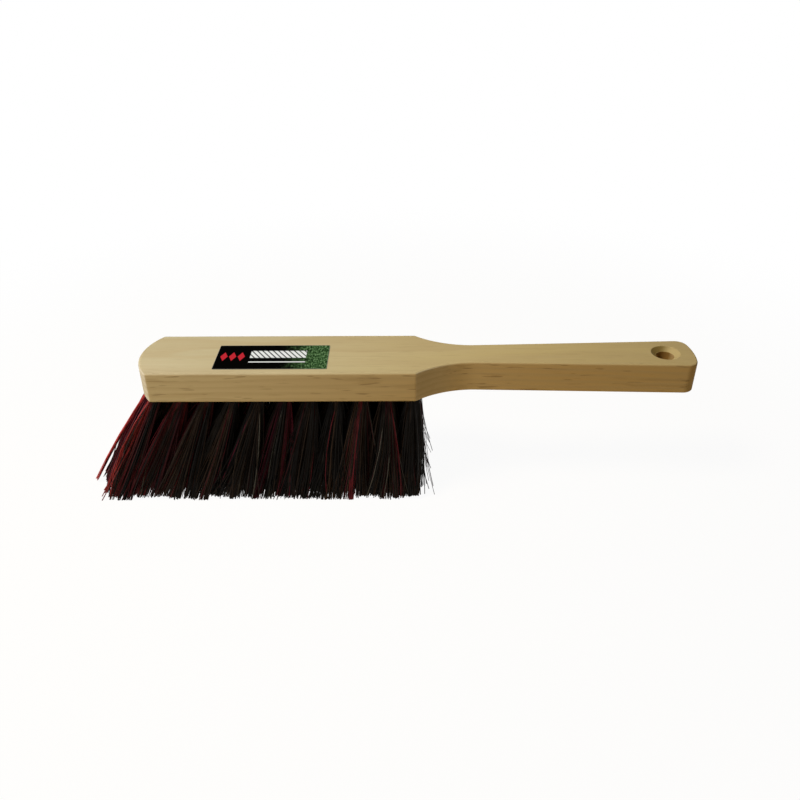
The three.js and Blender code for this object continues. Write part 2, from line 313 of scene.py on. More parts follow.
soft_lamp("key_lamp", place=Vector((-0.366, -0.162, 0.76)), aim=Vector((-0.06, 0.0, 0.08)),
          size=0.26, power=6.4, tone=(0.98, 0.99, 1.0))
soft_lamp("side_lamp", place=Vector((-0.90, -0.06, 0.24)), aim=Vector((-0.12, 0.0, 0.07)),
          size=0.45, power=0.8, tone=(0.92, 0.96, 1.0))

# %% [markdown]
# The floor is white in the same way. Close to the brush it keeps a share of real paint, which takes
# the shadow, and further off it is plain white. The paint is warm, so the light that it throws
# back under the brush is warm too.

# %% Floor
FLOOR_COLOUR = (0.92, 0.76, 0.48)
FLOOR_HALF = 3.0
NEAR_WHITE = 0.95
SHADOW_REACH = (0.22, 0.60)

corners = FLOOR_HALF * np.array([(-1, -1, 0), (1, -1, 0), (1, 1, 0), (-1, 1, 0)])
floor = mesh_piece("floor", corners, np.arange(len(corners))[None])
paint = bpy.data.materials.new("floor_white")
paint.use_nodes = True
tree = paint.node_tree
tree.nodes.clear()
away = length_of(tree, put(tree, "ShaderNodeTexCoord").outputs["Object"])
whiteness = ease(tree, away, *SHADOW_REACH, NEAR_WHITE, 1.0)
lit = put(tree, "ShaderNodeBsdfDiffuse", {"Color": opaque(FLOOR_COLOUR)})
plain = put(tree, "ShaderNodeEmission", {"Color": opaque(WHITE), "Strength": 1.0})
share = product(tree, direct_rays(tree), whiteness)
joined = put(tree, "ShaderNodeMixShader", {0: share, 1: lit.outputs[0], 2: plain.outputs[0]})
put(tree, "ShaderNodeOutputMaterial", {"Surface": joined.outputs[0]})
dress(floor, paint)
print("floor is", 2 * FLOOR_HALF, "m wide")

# %% [markdown]
# The board is sawn along a pattern of lines and arcs. Each one is sampled at the middle of short
# steps, so no sample falls on a corner and each one knows the exact direction that faces out of
# the wood.

# %% Lines and arcs
STEP = 0.5 * MM


def unit(vectors):
    """Vectors divided by their own length."""
    return vectors / np.linalg.norm(vectors, axis=-1, keepdims=True)


def direction(angle):
    """Unit vector in plan: (cos, sin) of the angle."""
    return np.stack([np.cos(angle), np.sin(angle)], -1)


def angle_of(vector):
    """Direction of a plan vector as an angle."""
    return np.arctan2(vector[1], vector[0])


def middles(length):
    """Shares between 0 and 1 at the middles of equal steps, each about STEP of the length."""
    count = int(length / STEP)
    return (np.arange(count) + 0.5) / count


def arc(centre, radius, start, end, side=1):
    """Circle about the centre, with points and outward directions; side -1 is a hollow."""
    angle = start + (end - start) * middles(radius * abs(end - start))
    return centre + radius * direction(angle), side * direction(angle)


def straight(start, end, outward):
    """Straight line from start to end, with one outward direction all along."""
    points = start + (end - start) * middles(np.linalg.norm(end - start))[:, None]
    return points, np.broadcast_to(outward, points.shape)


print("lines and arcs are sampled every", STEP / MM, "mm")

# %% [markdown]
# The pattern is drawn once from above, as for a band saw: a round nose, straight sides, a hollow
# shoulder down to the neck, a handle that widens to its end, and a blunt rounded end. One half is
# enough, because the other is its mirror image.

# %% Pattern of the board
LENGTH = 348 * MM
BLOCK_LENGTH = 173 * MM
HALF_BLOCK = 25 * MM
NOSE_BULGE = 9 * MM
NECK_RUN = 38.5 * MM
HALF_NECK = 11.7 * MM
HALF_GRIP = 15.9 * MM
END_RADIUS = 50 * MM
END_CORNER = 7 * MM
HANG_INSET = 18 * MM
HANG_X = LENGTH - HANG_INSET
MIRROR = np.array([1, -1])

neck = np.array([BLOCK_LENGTH + NECK_RUN, HALF_NECK])
along = unit(np.array([HANG_X - neck[0], HALF_GRIP - HALF_NECK]))
outward = np.array([-along[1], along[0]])

# The hollow touches the handle's side at the neck and passes through the shoulder corner.
shoulder_corner = np.array([BLOCK_LENGTH, HALF_BLOCK])
reach = shoulder_corner - neck
hollow_radius = reach @ reach / (2 * reach @ outward)
hollow = neck + hollow_radius * outward

# The end corner is a circle that touches the handle's side and, from inside, the end arc.
end_centre = np.array([LENGTH - END_RADIUS, 0])
begin = neck - END_CORNER * outward - end_centre
half = begin @ along
run = -half + np.sqrt(half**2 - begin @ begin + (END_RADIUS - END_CORNER) ** 2)
end_angle = angle_of(begin + run * along)
corner = begin + run * along + end_centre

# The nose is a circle through the tip and both corners of the block.
nose_radius = (HALF_BLOCK**2 + NOSE_BULGE**2) / (2 * NOSE_BULGE)
nose_centre = np.array([nose_radius, 0])
nose_corner = np.array([NOSE_BULGE, HALF_BLOCK])
strips = [
    arc(end_centre, END_RADIUS, 0, end_angle),
    arc(corner, END_CORNER, end_angle, angle_of(outward)),
    straight(corner + END_CORNER * outward, neck, outward),
    arc(hollow, hollow_radius, angle_of(neck - hollow), angle_of(shoulder_corner - hollow), -1),
    straight(shoulder_corner, nose_corner, np.array([0.0, 1.0])),
    arc(nose_centre, nose_radius, angle_of(nose_corner - nose_centre), np.pi),
]
half_points = np.concatenate([points for points, _ in strips])
half_out = np.concatenate([out for _, out in strips])
outline = np.concatenate([half_points, half_points[::-1] * MIRROR])
faces_out = np.concatenate([half_out, half_out[::-1] * MIRROR])
print("pattern has", len(outline), "points, hollow radius", round(hollow_radius / MM, 1), "mm")

# %% [markdown]
# The board's edges are rounded over. Carrying a rounded profile round the pattern would cross
# itself at the sharp nose and shoulder corners if every point moved square to the edge. So each
# point moves along a direction that is averaged over its neighbours, and just far enough that the
# new edge runs parallel to the old one, as two mitred mouldings meet. The flat faces close
# towards a line down the middle of the board. The bristles stand on the floor, so the board's
# underside is one bristle's length up.

# %% Body of the board
THICKNESS = 20 * MM
EDGE_ROUND = 1 * MM
BRISTLE_LENGTH = 70 * MM
UNDERSIDE = BRISTLE_LENGTH
MITRE_REACH = 6
SMOOTHINGS = 3
ROUND_ROWS = 7
CAP_SHARES = np.array([0.0, 0.55, 0.9, 0.975])
SIDE_SHARES = np.array([0.94, 0.5, -0.5, -0.94])
SPINE = (26 * MM, LENGTH - 16 * MM)
# The tip of the nose, which is the first corner of the CAD board's box.
NOSE_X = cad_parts["stock"].bound_box[0][0]


def mitred(outline, faces_out, inset):
    """Outline moved along the averaged direction by inset over its cosine to the true one, then evened."""
    mean = unit(sum(np.roll(faces_out, k, 0) for k in range(-MITRE_REACH, MITRE_REACH + 1)))
    cosine = (mean * faces_out).sum(1, keepdims=True)
    moved = outline - mean * inset / cosine
    for _ in range(SMOOTHINGS):
        moved = (np.roll(moved, 1, 0) + 2 * moved + np.roll(moved, -1, 0)) / 4
    return moved


def board_rows():
    """Rows from the top's middle line over the rounded edge, down the side and back under the board."""
    top = THICKNESS / 2
    inner = mitred(outline, faces_out, EDGE_ROUND)
    spine = np.stack([np.clip(inner[:, 0], *SPINE), np.zeros(len(inner))], -1)
    upper = [(spine + share * (inner - spine), top) for share in CAP_SHARES]
    for angle in np.linspace(np.pi / 2, 0, ROUND_ROWS):
        rounded = mitred(outline, faces_out, EDGE_ROUND * (1 - np.cos(angle)))
        upper.append((rounded, top - EDGE_ROUND * (1 - np.sin(angle))))
    face = mitred(outline, faces_out, 0)
    sides = [(face, share * (top - EDGE_ROUND)) for share in SIDE_SHARES]
    lower = [(plan, -height) for plan, height in upper[::-1]]
    return upper + sides + lower


rows = board_rows()
stacked = np.stack([np.column_stack([plan, np.full(len(plan), height)]) for plan, height in rows])
stacked = stacked + [NOSE_X, 0, UNDERSIDE + THICKNESS / 2]
stock = mesh_piece("beech_stock", stacked.reshape(-1, 3), grid_faces(len(rows), len(outline)))
merge_points(stock.data)
print("board:", len(stock.data.polygons), "faces before it is drilled")

# %% [markdown]
# The tufts sit in four straight rows of eleven slanted holes. Towards the nose they lean forward
# and the outer rows lean outward, which gives the brush its fan. A tuft's flare is how far its
# tip lies from the spot straight below its hole.

# %% Rows of holes
ROWS = 4
TUFTS = 11
DRILL_RADIUS = 4 * MM
SIDE_WALL = 4 * MM
NOSE_WALL = 3 * MM
LAST_INSET = 1.5 * MM
OUTER_ROW = HALF_BLOCK - SIDE_WALL - DRILL_RADIUS
NOSE_FLARE = 44 * MM
FAN_ROUND = 0.16
HANDLE_FLARE = 0.5 * MM
SIDE_FLARE = 9.5 * MM

row_y = np.linspace(-OUTER_ROW, OUTER_ROW, ROWS)[:, None]
tuft_share = np.linspace(0, 1, TUFTS)[None, :]
first_radius = nose_radius - NOSE_WALL - DRILL_RADIUS
first_x = nose_radius - np.sqrt(first_radius**2 - row_y**2)
hole_x = first_x + tuft_share * (BLOCK_LENGTH - LAST_INSET - first_x) + NOSE_X
holes = np.stack([hole_x, np.broadcast_to(row_y, hole_x.shape)], -1)
nose_flare = NOSE_FLARE * (1 - FAN_ROUND * (row_y / OUTER_ROW) ** 2)
flare_x = -nose_flare + tuft_share * (nose_flare + HANDLE_FLARE)
flare_y = np.broadcast_to(SIDE_FLARE * row_y / OUTER_ROW, hole_x.shape)
flares = np.stack([flare_x, flare_y], -1)
print("holes:", ROWS * TUFTS, "and", round(float(np.diff(hole_x[0])[0]) / MM, 1), "mm apart")

# %% [markdown]
# The holes are cut as on the real block, by tools. Each tuft has a drill with a cone point along its
# own lean, which breaks the hole's rim a little, and the hang hole has a round cutter that widens
# at both ends, which leaves its rims countersunk.

# %% Drills and the cutter of the hang hole
DRILL_DEPTH = 12 * MM
DRILL_POINT = 1.6 * MM
DRILL_SIDES = 24
RIM_BREAK = 0.4 * MM
DRILL_OVERRUN = 2 * MM
POINTED = 0.0001 * MM
HANG_RADIUS = 5.6 * MM
HANG_SINK = 3.5 * MM
HANG_SINK_DEPTH = 2.4 * MM
HANG_OVERRUN = 1 * MM
HANG_SIDES = 96


def lathe(profile, sides):
    """A closed shape turned about Z from (radius, height) pairs, top first: rows are rings."""
    angle = 2 * np.pi * np.arange(sides) / sides
    ring = np.column_stack([direction(angle), np.zeros(sides)])
    radius, height = np.array(profile).T
    return radius[:, None, None] * ring + height[:, None, None] * np.array([0, 0, 1])


def drill_cutters():
    """Every drill at once: one turned profile, set on each hole with its axis along the tuft's lean."""
    profile = [
        (POINTED, DRILL_DEPTH + DRILL_POINT),
        (DRILL_RADIUS, DRILL_DEPTH),
        (DRILL_RADIUS, RIM_BREAK),
        (DRILL_RADIUS + RIM_BREAK + DRILL_OVERRUN, -DRILL_OVERRUN),
        (POINTED, -DRILL_OVERRUN),
    ]
    axis = unit(np.concatenate([-flares, np.full((ROWS, TUFTS, 1), BRISTLE_LENGTH)], -1))
    across = unit(np.array([1.0, 0, 0]) - axis * axis[..., :1])
    basis = np.stack([across, np.cross(axis, across), axis], -2)
    points = np.einsum("rsk,hckj->hcrsj", lathe(profile, DRILL_SIDES), basis)
    mouths = np.concatenate([holes, np.full((ROWS, TUFTS, 1), UNDERSIDE)], -1)
    points = points + mouths[:, :, None, None, :]
    one = grid_faces(len(profile), DRILL_SIDES)
    return points.reshape(-1, 3), copies(one, len(profile) * DRILL_SIDES, ROWS * TUFTS)


def hang_cutter():
    """The hang hole: a straight bore that opens by a straight slope at both faces of the board."""
    half_height = THICKNESS / 2
    outside = half_height + HANG_OVERRUN
    wide = HANG_RADIUS + HANG_SINK
    upper = [(POINTED, outside), (wide, outside), (wide, half_height),
             (HANG_RADIUS, half_height - HANG_SINK_DEPTH)]
    profile = upper + [(radius, -height) for radius, height in upper[::-1]]
    turned = lathe(profile, HANG_SIDES) + [HANG_X + NOSE_X, 0, UNDERSIDE + half_height]
    return turned.reshape(-1, 3), grid_faces(len(profile), HANG_SIDES)


print("hang hole:", round(2 * HANG_RADIUS / MM, 1), "mm wide")

# %% [markdown]
# A Boolean modifier takes each tool's shape out of the board, and the result is kept as a plain
# mesh. Weighted normals keep the large flat faces flat beside the rounded edges.

# %% Cut the board
WOOD_SHARP = np.radians(30)


def cut(piece, name, points, faces):
    """Takes the cutter's shape out of the piece and keeps the result as the piece's mesh."""
    cutter = mesh_piece(name, points, faces)
    merge_points(cutter.data)
    tool = piece.modifiers.new(name, "BOOLEAN")
    tool.operation = "DIFFERENCE"
    tool.solver = "MANIFOLD"
    tool.object = cutter
    bpy.context.view_layer.update()
    graph = bpy.context.evaluated_depsgraph_get()
    result = bpy.data.meshes.new_from_object(piece.evaluated_get(graph))
    piece.modifiers.remove(tool)
    piece.data = result
    bpy.data.objects.remove(cutter)


cut(stock, "drills", *drill_cutters())
cut(stock, "hang_hole", *hang_cutter())
stock.data.name = "beech_stock"
smooth(stock.data, WOOD_SHARP)
shading = stock.modifiers.new("flat faces lead", "WEIGHTED_NORMAL")
shading.keep_sharp = True
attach(stock, "root")
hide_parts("stock")
print("board after drilling:", len(stock.data.polygons), "faces")

# %% [markdown]
# Small unevenness is on every finish here: wood, print, fibre and wire. So it is a node group that
# is made once. It reads a place, stretches it, and puts out a soft random value between two
# limits, which each material uses for its own colour and gloss. The stretch says how many soft
# spots there are to a metre along X, Y and Z.

# %% Shared mottle
# Nearly all values of the noise lie between these two.
NOISE_LOW, NOISE_HIGH = 0.3, 0.7

mottle = bpy.data.node_groups.new("mottle", "ShaderNodeTree")
for name in ("Place", "Stretch"):
    mottle.interface.new_socket(name, in_out="INPUT", socket_type="NodeSocketVector")
for name in ("Low", "High", "Detail"):
    mottle.interface.new_socket(name, in_out="INPUT", socket_type="NodeSocketFloat")
mottle.interface.new_socket("Value", in_out="OUTPUT", socket_type="NodeSocketFloat")
given = put(mottle, "NodeGroupInput").outputs
factors = {0: given["Place"], 1: given["Stretch"]}
stretched = put(mottle, "ShaderNodeVectorMath", factors, operation="MULTIPLY").outputs[0]
cloud = put(mottle, "ShaderNodeTexNoise", {"Vector": stretched, "Scale": 1.0, "Detail": given["Detail"]})
limits = put(mottle, "ShaderNodeMapRange",
             {"Value": cloud.outputs[0], "From Min": NOISE_LOW, "From Max": NOISE_HIGH,
              "To Min": given["Low"], "To Max": given["High"]})
put(mottle, "NodeGroupOutput", {"Value": limits.outputs[0]})


def uneven(tree, place, stretch, low=0.0, high=1.0, detail=2.0):
    """Places the mottle group: a soft random value from low to high, with that many spots to a metre."""
    sockets = {"Place": place, "Stretch": stretch, "Low": low, "High": high, "Detail": detail}
    return put(tree, "ShaderNodeGroup", sockets, node_tree=mottle).outputs["Value"]


print("mottle group:", len(mottle.nodes), "nodes")

# %% [markdown]
# The wood is beech sawn flat, planed and sanded, with no varnish. A picture could be wrapped round
# it, but real grain runs through the board, so the pattern here is solid. It starts with the growth
# rings: wavy shells about a line far below the board, where the heart of the tree was. Each ring
# darkens slowly and ends short.

# %% Growth rings of the wood
PITH_Y = 0.012
PITH_Z = -0.095
RING = 0.0042
RING_DRIFT = 0.0032
DRIFT_SPOTS = (5.0, 28.0, 28.0)
LATE_RISE = (0.25, 0.86)
LATE_FALL = (0.88, 0.99)

wood, tree, shader, place = new_material("sanded_beech")
axes = put(tree, "ShaderNodeSeparateXYZ", {0: place}).outputs
drift = uneven(tree, place, DRIFT_SPOTS, -RING_DRIFT, RING_DRIFT)
from_y = sum_of(tree, "SUBTRACT", axes["Y"], PITH_Y)
from_z = sum_of(tree, "SUBTRACT", axes["Z"], PITH_Z)
radius = sum_of(tree, "ADD", distance(tree, from_y, from_z), drift)
ring = sum_of(tree, "FRACT", sum_of(tree, "DIVIDE", radius, RING))
late = product(tree, ease(tree, ring, *LATE_RISE), ease(tree, ring, *LATE_FALL, 1.0, 0.0))
print("rings are", round(RING / MM, 1), "mm apart")

# %% [markdown]
# Next come fine fibres and streaks along the board, and the short brown ray flecks of beech. Flecks
# gather in patches, are more common on the golden handle, and show most on the sawn sides, where
# soft dashes lie between them. Where the surface cuts across the fibres there are none.

# %% Fibres and flecks of the wood
SAWN_TILT = (0.3, 0.85)
CROSS_TILT = (0.12, 0.45)
GOLD_RUN = (-0.16, 0.14)
FIBRE_SPOTS = (16.0, 760.0, 760.0)
STREAK_SPOTS = (7.0, 150.0, 150.0)
PATCH_SPOTS = (12.0, 40.0, 40.0)
FLECK_SPOTS = (62.0, 640.0, 640.0)
DASH_SPOTS = (24.0, 360.0, 360.0)
FLECK_LIMIT = 1.01
PATCH_HELP = -0.34
GOLD_HELP = -0.08
FLECK_EDGE = (0.0, 0.26)
DASH_EDGE = (-0.12, 0.16)
SAWN_FLECKS = 0.36
FLAT_FLECKS = 0.10

normal = put(tree, "ShaderNodeNewGeometry").outputs["Normal"]
facing = put(tree, "ShaderNodeSeparateXYZ", {0: normal}).outputs
sawn = ease(tree, sum_of(tree, "ABSOLUTE", facing["Z"]), *SAWN_TILT, 1.0, 0.0)
lengthwise = ease(tree, sum_of(tree, "ABSOLUTE", facing["X"]), *CROSS_TILT, 1.0, 0.0)
gold = ease(tree, axes["X"], *GOLD_RUN)

fibres = uneven(tree, place, FIBRE_SPOTS, detail=3.0)
streaks = uneven(tree, place, STREAK_SPOTS)
patches = uneven(tree, place, PATCH_SPOTS, detail=1.0)
golden_limit = sum_of(tree, "MULTIPLY_ADD", gold, GOLD_HELP, FLECK_LIMIT)
limit = sum_of(tree, "MULTIPLY_ADD", patches, PATCH_HELP, golden_limit)
fleck_noise = uneven(tree, place, FLECK_SPOTS, detail=1.0)
fleck = ease(tree, sum_of(tree, "SUBTRACT", fleck_noise, limit), *FLECK_EDGE)
fleck_share = sum_of(tree, "MULTIPLY_ADD", sawn, SAWN_FLECKS, FLAT_FLECKS)
fleck = product(tree, fleck, fleck_share, lengthwise)
dash_noise = uneven(tree, place, DASH_SPOTS, detail=1.0)
dash = ease(tree, sum_of(tree, "SUBTRACT", dash_noise, limit), *DASH_EDGE)
dash = product(tree, dash, sawn, lengthwise)
print("wood so far:", len(tree.nodes), "nodes")

# %% [markdown]
# The tones of the wood: pale at the block and golden at the handle, and the sawn sides deeper. The end
# grain of the nose is painted nearly white, a painted highlight for the lamps that light it. Rings,
# streaks, fibres, dashes and flecks are stains over it.

# %% Tones of the wood
TONE_SPOTS = (6.0, 20.0, 30.0)
PALE_TONES = ((0.0, (0.475, 0.400, 0.232)), (1.0, (0.535, 0.455, 0.280)))
GOLD_TONE = (0.570, 0.420, 0.165)
SAWN_PALE = (0.600, 0.465, 0.250)
SAWN_GOLD = (0.530, 0.310, 0.098)
SAWN_SHARE = 0.8
# Painted highlight: the colour laid on the nose's end grain where the lamps light it.
NOSE_HIGHLIGHT_TONE = (0.720, 0.650, 0.500)
LATE_TONE = (0.420, 0.290, 0.135)
STREAK_TONE = (0.500, 0.375, 0.190)
FIBRE_TONE = (0.430, 0.310, 0.150)
DASH_TONE = (0.300, 0.185, 0.070)
FLECK_TONE = (0.150, 0.080, 0.028)

pale = ramp(tree, uneven(tree, place, TONE_SPOTS), PALE_TONES)
flat_tone = tint(tree, gold, pale, GOLD_TONE)
sawn_tone = tint(tree, gold, SAWN_PALE, SAWN_GOLD)
wood_tone = tint(tree, product(tree, sawn, SAWN_SHARE), flat_tone, sawn_tone)
crosswise = sum_of(tree, "SUBTRACT", 1.0, lengthwise)
# Painted highlight on the end grain of the nose, not a stain of the wood.
painted_nose_highlight = product(tree, crosswise, sum_of(tree, "SUBTRACT", 1.0, gold))
stains = (
    (painted_nose_highlight, 0.80, NOSE_HIGHLIGHT_TONE),
    (late, 0.30, LATE_TONE),
    (streaks, 0.22, STREAK_TONE),
    (fibres, 0.20, FIBRE_TONE),
    (dash, 0.25, DASH_TONE),
    (fleck, 1.0, FLECK_TONE),
)
for mask, strength, stain in stains:
    wood_tone = tint(tree, product(tree, mask, strength), wood_tone, stain)
print("stains on the wood:", len(stains))

# %% [markdown]
# The walls of the hang hole carry painted shade, darkest where the rim's shadow falls. The bore is painted
# brown, but paler towards the neck and the end, and its slope is painted brown at the back towards the
# neck.

# %% Painted shade in the hang hole
# How strongly the painted shade covers the bore and the slope.
PAINTED_SHADE_SHARE = 0.85
BORE_EDGE = 0.3 * MM
BORE_START = np.array([-0.9, -0.2]) * HANG_RADIUS
BORE_END = np.array([0.6, 1.0]) * HANG_RADIUS
BORE_END_SHARE = 0.2
BORE_SHADE_TONE = (0.240, 0.115, 0.018)
SINK_EDGE = 0.4 * MM
SINK_ALONG = -0.8
SINK_ACROSS = 0.6
SINK_RUN = np.array([-1.0, 6.0]) * MM
SINK_SHADE_TONE = (0.195, 0.120, 0.022)

beyond_hole = sum_of(tree, "SUBTRACT", axes["X"], HANG_X + NOSE_X)
from_axis = distance(tree, beyond_hole, axes["Y"])
# Painted shade on the bore's wall, where the rim's shadow falls.
in_bore = ease(tree, from_axis, HANG_RADIUS, HANG_RADIUS + BORE_EDGE, PAINTED_SHADE_SHARE, 0.0)
after_start = ease(tree, beyond_hole, *BORE_START)
before_end = ease(tree, beyond_hole, *BORE_END, 1.0, BORE_END_SHARE)
wood_tone = tint(tree, product(tree, in_bore, after_start, before_end), wood_tone, BORE_SHADE_TONE)

sink_radius = HANG_RADIUS + HANG_SINK
# Painted shade on the slope, at the back towards the neck.
in_sink = ease(tree, from_axis, sink_radius - SINK_EDGE, sink_radius, PAINTED_SHADE_SHARE, 0.0)
past_bore = ease(tree, from_axis, HANG_RADIUS, HANG_RADIUS + BORE_EDGE)
before_hole = product(tree, beyond_hole, SINK_ALONG)
towards_neck = sum_of(tree, "MULTIPLY_ADD", axes["Y"], SINK_ACROSS, before_hole)
painted_shade_side = ease(tree, towards_neck, *SINK_RUN)
wood_tone = tint(tree, product(tree, in_sink, past_bore, painted_shade_side), wood_tone, SINK_SHADE_TONE)
print("slope of the hang hole is", round(HANG_SINK / MM, 1), "mm wide")

# %% [markdown]
# Bare sanded wood is dull. Its fibres stand a little proud and its flecks lie a little deeper.

# %% Finish of the wood
SANDED_SPOTS = (60.0, 240.0, 240.0)
SANDED_ROUGHNESS = (0.50, 0.66)
WOOD_GLOSS = 0.06
FIBRE_RELIEF = 0.6
WOOD_BUMP = 0.35
WOOD_RELIEF = 0.12 * MM

roughness = uneven(tree, place, SANDED_SPOTS, *SANDED_ROUGHNESS)
relief = sum_of(tree, "SUBTRACT", product(tree, fibres, FIBRE_RELIEF), fleck)
sockets = {"Base Color": wood_tone, "Roughness": roughness, "Specular IOR Level": WOOD_GLOSS}
finish_with(tree, shader, sockets, relief, WOOD_BUMP, WOOD_RELIEF)
dress(stock, wood)
print("wood material:", len(tree.nodes), "nodes")

# %% [markdown]
# A printed sticker lies on the block. Its print is a plain design of its own, drawn by sums on the
# place across the sticker, so it stays sharp at any distance. The ground is nearly black and
# passes into a leafy green end, which is two kinds of mottle through a ramp of greens.

# %% Ground of the label
LEAF_SPOTS = (900.0, 420.0, 500.0)
BLADE_SPOTS = (1900.0, 500.0, 500.0)
LEAF_SHARE = 0.55
BLADE_SHARE = 0.45
GREENS = ((0.28, (0.008, 0.020, 0.006)), (0.5, (0.038, 0.092, 0.028)), (0.74, (0.130, 0.230, 0.095)))
LEAFY_RUN = (0.66, 0.98)
LEAFY_DRIFT = 0.14
DARK_PRINT = (0.0016, 0.0015, 0.0013)

label_low, label_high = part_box("label")
label_size = label_high - label_low
label_finish, tree, shader, place = new_material("printed_label")
shift = put(tree, "ShaderNodeVectorMath", {0: place, 1: label_low}, operation="SUBTRACT").outputs[0]
axes = put(tree, "ShaderNodeSeparateXYZ", {0: shift}).outputs
u = sum_of(tree, "DIVIDE", axes["X"], label_size.x)
v = sum_of(tree, "DIVIDE", axes["Y"], label_size.y)

leaf_light = uneven(tree, place, LEAF_SPOTS, detail=4.0)
blades = uneven(tree, place, BLADE_SPOTS)
leaf = sum_of(tree, "MULTIPLY_ADD", blades, BLADE_SHARE, product(tree, leaf_light, LEAF_SHARE))
leafy = ease(tree, sum_of(tree, "MULTIPLY_ADD", leaf_light, LEAFY_DRIFT, u), *LEAFY_RUN)
print_tone = tint(tree, leafy, DARK_PRINT, ramp(tree, leaf, GREENS))
print("label is", [round(side / MM, 1) for side in label_size], "mm")

# %% [markdown]
# On the ground stand a band of pale slanted stripes with a thin line under it, and a chain of red
# diamonds. A ping-pong sum runs to and fro between two values, so one stripe or diamond repeats
# along the label.

# %% Stripes and diamonds of the label
STRIPES_ALONG = 300.0
STRIPES_ACROSS = 200.0
HALF_STRIPE = 0.5
STRIPE = (0.14, 0.6)
STRIPE_SOFT = 0.03
BAND_U = (0.30, 0.80)
BAND_V = (0.46, 0.76)
LINE_V = (0.27, 0.31)
SOFT_U = 0.002
SOFT_V = 0.006
PALE_PRINT = (0.74, 0.74, 0.71)
DIAMOND = 0.0054
DIAMOND_SLOPE = 0.42
DIAMOND_EDGE = (0.0022, 0.0024)
CHAIN_START = 0.002
CHAIN_V = 0.52
CHAIN_U = (0.028, 0.26)
CHAIN_SOFT = 0.001
RED_PRINT = (0.47, 0.020, 0.030)


def span(tree, value, limits, soft):
    """A band: 1 while the value is between the limits, with soft ends."""
    low, high = limits
    rise = ease(tree, value, low - soft, low + soft)
    return product(tree, rise, ease(tree, value, high - soft, high + soft, 1.0, 0.0))


across = product(tree, axes["Y"], STRIPES_ACROSS)
slant = sum_of(tree, "MULTIPLY_ADD", axes["X"], STRIPES_ALONG, across)
slant = sum_of(tree, "PINGPONG", slant, HALF_STRIPE)
band = span(tree, u, BAND_U, SOFT_U)
stripes = product(tree, span(tree, slant, STRIPE, STRIPE_SOFT), band, span(tree, v, BAND_V, SOFT_V))
thin_line = product(tree, span(tree, v, LINE_V, SOFT_V), band)
print_tone = tint(tree, sum_of(tree, "MAXIMUM", stripes, thin_line), print_tone, PALE_PRINT)

tile = sum_of(tree, "PINGPONG", sum_of(tree, "SUBTRACT", axes["X"], CHAIN_START), DIAMOND / 2)
from_middle = sum_of(tree, "SUBTRACT", DIAMOND / 2, tile)
height = sum_of(tree, "ABSOLUTE", sum_of(tree, "SUBTRACT", axes["Y"], label_size.y * CHAIN_V))
lozenge = sum_of(tree, "MULTIPLY_ADD", height, DIAMOND_SLOPE, from_middle)
chain = product(tree, ease(tree, lozenge, *DIAMOND_EDGE, 1.0, 0.0), span(tree, u, CHAIN_U, CHAIN_SOFT))
print_tone = tint(tree, chain, print_tone, RED_PRINT)
print("label's print:", len(tree.nodes), "nodes")

# %% [markdown]
# The sticker's cut edge shows the paper, so a hair's breadth along its four sides is pale. The
# paper is matt and lies a little wavy on the wood.

# %% Edge and finish of the label
PAPER_EDGE = (0.00008, 0.00022)
PAPER = (0.30, 0.29, 0.26)
PRINT_SPOTS = (220.0, 220.0, 220.0)
PRINT_ROUGHNESS = (0.34, 0.46)
PRINT_GLOSS = 0.0
RIPPLE_SPOTS = (90.0, 140.0, 90.0)
RIPPLE_BUMP = 0.2
RIPPLE_RELIEF = 0.2 * MM


def to_side(tree, position, size):
    """Distance to the nearer of two sides: the smaller of the position and size less the position."""
    return sum_of(tree, "MINIMUM", position, sum_of(tree, "SUBTRACT", size, position))


to_end = to_side(tree, axes["X"], label_size.x)
edge = sum_of(tree, "MINIMUM", to_end, to_side(tree, axes["Y"], label_size.y))
print_tone = tint(tree, ease(tree, edge, *PAPER_EDGE, 1.0, 0.0), print_tone, PAPER)
roughness = uneven(tree, place, PRINT_SPOTS, *PRINT_ROUGHNESS)
sockets = {"Base Color": print_tone, "Roughness": roughness, "Specular IOR Level": PRINT_GLOSS}
finish_with(tree, shader, sockets, uneven(tree, place, RIPPLE_SPOTS), RIPPLE_BUMP, RIPPLE_RELIEF)
dress(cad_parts["label"], label_finish)
print("label material:", len(tree.nodes), "nodes")

# %% [markdown]
# The bristles are a mix of stiff fibres, black, brown and red, a little over half a millimetre
# thick. Hair particles would do, but the part has to be plain meshes, so each fibre is a thin
# four-sided tube along its own path. The fibres of a tuft cling together in locks. Red ones were
# laid in together, so whole locks are red, most of them in the first tufts, and behind the nose
# these cling the most and show as bands.

# %% Locks of fibres
FIBRES = 410
SECTORS = 8
LOCKS = 2 * SECTORS
OUTER_LOCKS = 0.66
LOCK_PULL = (0.10, 0.45)
RED_PULL = 0.70
NOSE_TUFTS = 3
RED_TUFTS = (0, 1, 2, 3, 6, 10)
RED_LOCKS = (0.75, 0.65, 0.55, 0.18, 0.18, 0.22)
shape = (ROWS, TUFTS, FIBRES)
lock_shape = (ROWS, TUFTS, LOCKS)
dice = np.random.default_rng(seed=11)
dye = np.random.default_rng(seed=4)


def along_rows(shares):
    """Shares that are given at RED_TUFTS, with straight lines between them, for every tuft."""
    return np.interp(np.arange(TUFTS), RED_TUFTS, shares)[None, :, None]


def locks_of(angle, share):
    """Lock number of each fibre: equal sectors of the tuft, each with an inner and an outer lock."""
    turn = angle + 2 * np.pi * dice.random((ROWS, TUFTS, 1))
    sector = np.floor((turn % (2 * np.pi)) / (2 * np.pi) * SECTORS).astype(int)
    return np.minimum(sector, SECTORS - 1) + (share > OUTER_LOCKS) * SECTORS


def of_lock(values, lock):
    """The value of each fibre's lock, from values in the order tufts and locks."""
    index = lock.reshape(*lock.shape, *[1] * (values.ndim - lock.ndim))
    return np.take_along_axis(values, index, 2)


